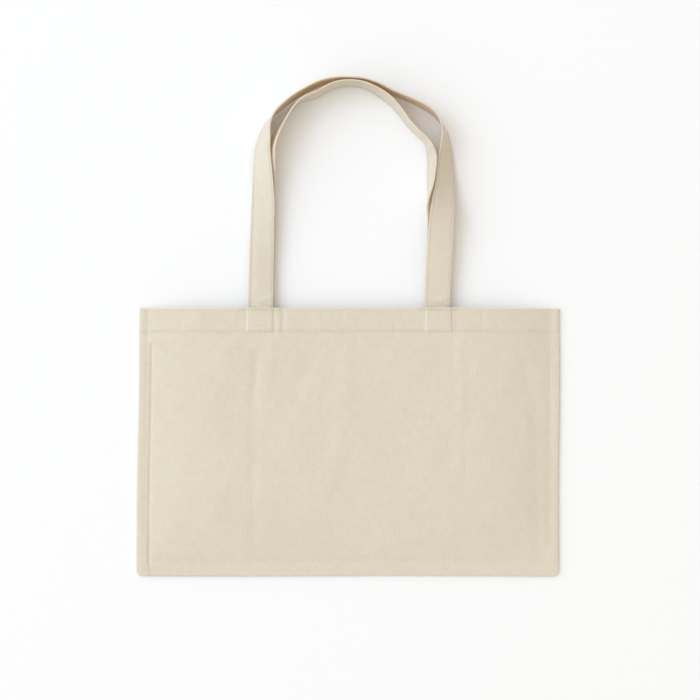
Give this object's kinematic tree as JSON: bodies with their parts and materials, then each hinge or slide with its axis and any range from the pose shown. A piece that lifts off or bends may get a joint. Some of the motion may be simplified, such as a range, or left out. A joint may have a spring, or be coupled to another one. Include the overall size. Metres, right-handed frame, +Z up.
{
  "type": "tote bag",
  "caption": "Wide flat canvas tote bag with an open hemmed mouth and long fabric strap handles, lying flat on its back panel.",
  "frame": {"origin": "middle of the back panel's outer face, on the surface the bag lies on", "axes": "+X across the bag to its right seen from the front, +Y from the bottom seam towards the mouth and the handles, +Z up out of the front panel"},
  "size_m": [0.42, 0.4968, 0.0258],
  "materials": {
    "canvas": "matte natural cotton canvas, plain weave",
    "strap_canvas": "matte natural cotton canvas, folded and pressed",
    "thread": "matte natural cotton thread"
  },
  "bodies": {
    "bag": {"front_panel": "canvas", "back_panel": "canvas", "front_handle_left_end": "strap_canvas", "front_handle_right_end": "strap_canvas", "back_handle_left_end": "strap_canvas", "back_handle_right_end": "strap_canvas", "front_hem_thread": "thread", "front_mouth_thread": "thread", "front_left_handle_tack": "thread", "front_right_handle_tack": "thread", "back_hem_thread": "thread", "back_mouth_thread": "thread", "back_left_handle_tack": "thread", "back_right_handle_tack": "thread", "left_seam_thread": "thread", "right_seam_thread": "thread", "bottom_seam_thread": "thread", "left_overlock": "thread", "right_overlock": "thread", "bottom_overlock": "thread"},
    "front_handle": {"front_handle": "strap_canvas", "front_handle_inner_thread": "thread", "front_handle_outer_thread": "thread"},
    "back_handle": {"back_handle": "strap_canvas", "back_handle_inner_thread": "thread", "back_handle_outer_thread": "thread"}
  },
  "joints": [
    {"name": "front_handle_swing", "type": "hinge", "parent": "bag", "child": "front_handle", "pos_m": [0, 0.134, 0.0104], "axis": [1, 0, 0], "range_deg": [0, 170]},
    {"name": "back_handle_swing", "type": "hinge", "parent": "bag", "child": "back_handle", "pos_m": [0, 0.134, 0], "axis": [1, 0, 0], "range_deg": [-170, 0]}
  ]
}
